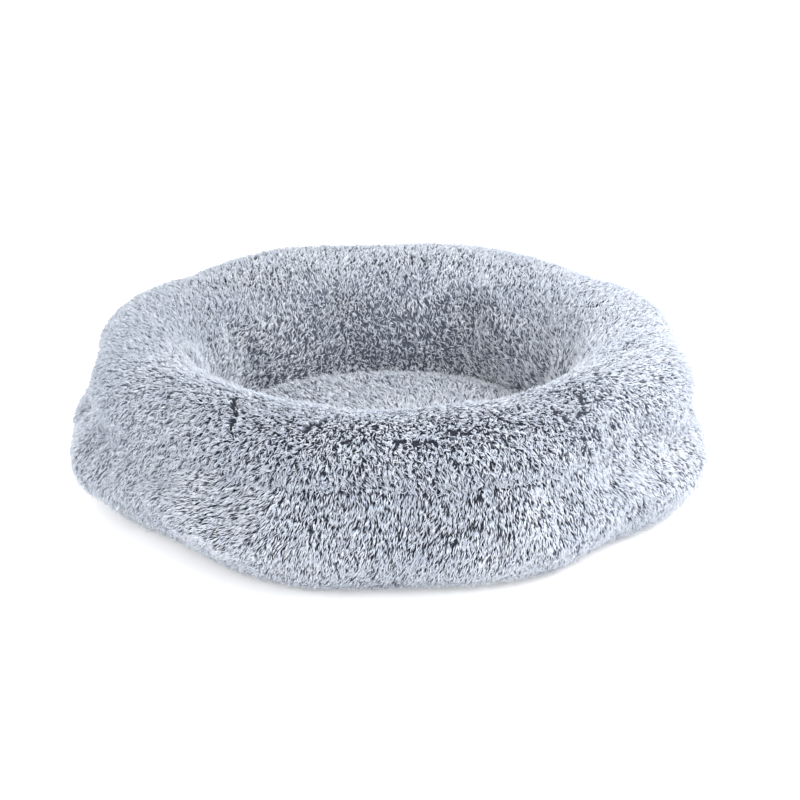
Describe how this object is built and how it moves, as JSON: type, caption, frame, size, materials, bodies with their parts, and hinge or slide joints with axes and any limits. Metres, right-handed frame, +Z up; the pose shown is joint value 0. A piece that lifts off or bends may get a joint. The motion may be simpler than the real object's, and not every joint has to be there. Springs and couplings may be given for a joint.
{
  "type": "pet cushion bed",
  "caption": "Round donut pet bed: long-pile fur cover over a stuffed ring and seat pad, on a grip base, with a zip under the hem at the back.",
  "frame": {"origin": "centre of the ring, on the floor under the grip dots", "axes": "+Z up, +Y towards the back where the zip is, so the front faces -Y"},
  "size_m": [0.618, 0.618, 0.164],
  "materials": {
    "fur_wall": "long frosted pile",
    "fur_rim": "long frosted pile",
    "fur_inner": "long frosted pile",
    "fur_seat": "long frosted pile",
    "fibre_fill": "loose white fibre",
    "base_cloth": "plain weave",
    "grip_rubber": "matte",
    "zip_tape": "woven",
    "zip_coil": "satin",
    "zip_metal": "satin"
  },
  "bodies": {
    "cover": {"wall_front": "fur_wall", "wall_right": "fur_wall", "wall_back": "fur_wall", "wall_left": "fur_wall", "rim_front": "fur_rim", "rim_right": "fur_rim", "rim_back": "fur_rim", "rim_left": "fur_rim", "inner_front": "fur_inner", "inner_right": "fur_inner", "inner_back": "fur_inner", "inner_left": "fur_inner", "bolster_front": "fibre_fill", "bolster_right": "fibre_fill", "bolster_back": "fibre_fill", "bolster_left": "fibre_fill", "seat_plush": "fur_seat", "seat_pad": "fibre_fill", "base_cloth": "base_cloth", "grip_dots": "grip_rubber", "zip_tape_lower": "zip_tape", "zip_tape_upper": "zip_tape", "zip_coil_lower": "zip_coil", "zip_coil_upper": "zip_coil", "zip_stops": "zip_metal"},
    "slider": {"zip_slider": "zip_metal"},
    "pull": {"zip_pull": "zip_metal"}
  },
  "joints": [
    {"name": "zip_run", "type": "hinge", "parent": "cover", "child": "slider", "pos_m": [0, 0, 0.0165], "axis": [0, 0, -1], "range_deg": [0, 76]},
    {"name": "pull_turn", "type": "hinge", "parent": "slider", "child": "pull", "pos_m": [-0.16522, 0.21147, 0.0165], "axis": [0, 0, -1], "range_deg": [0, 180]}
  ]
}
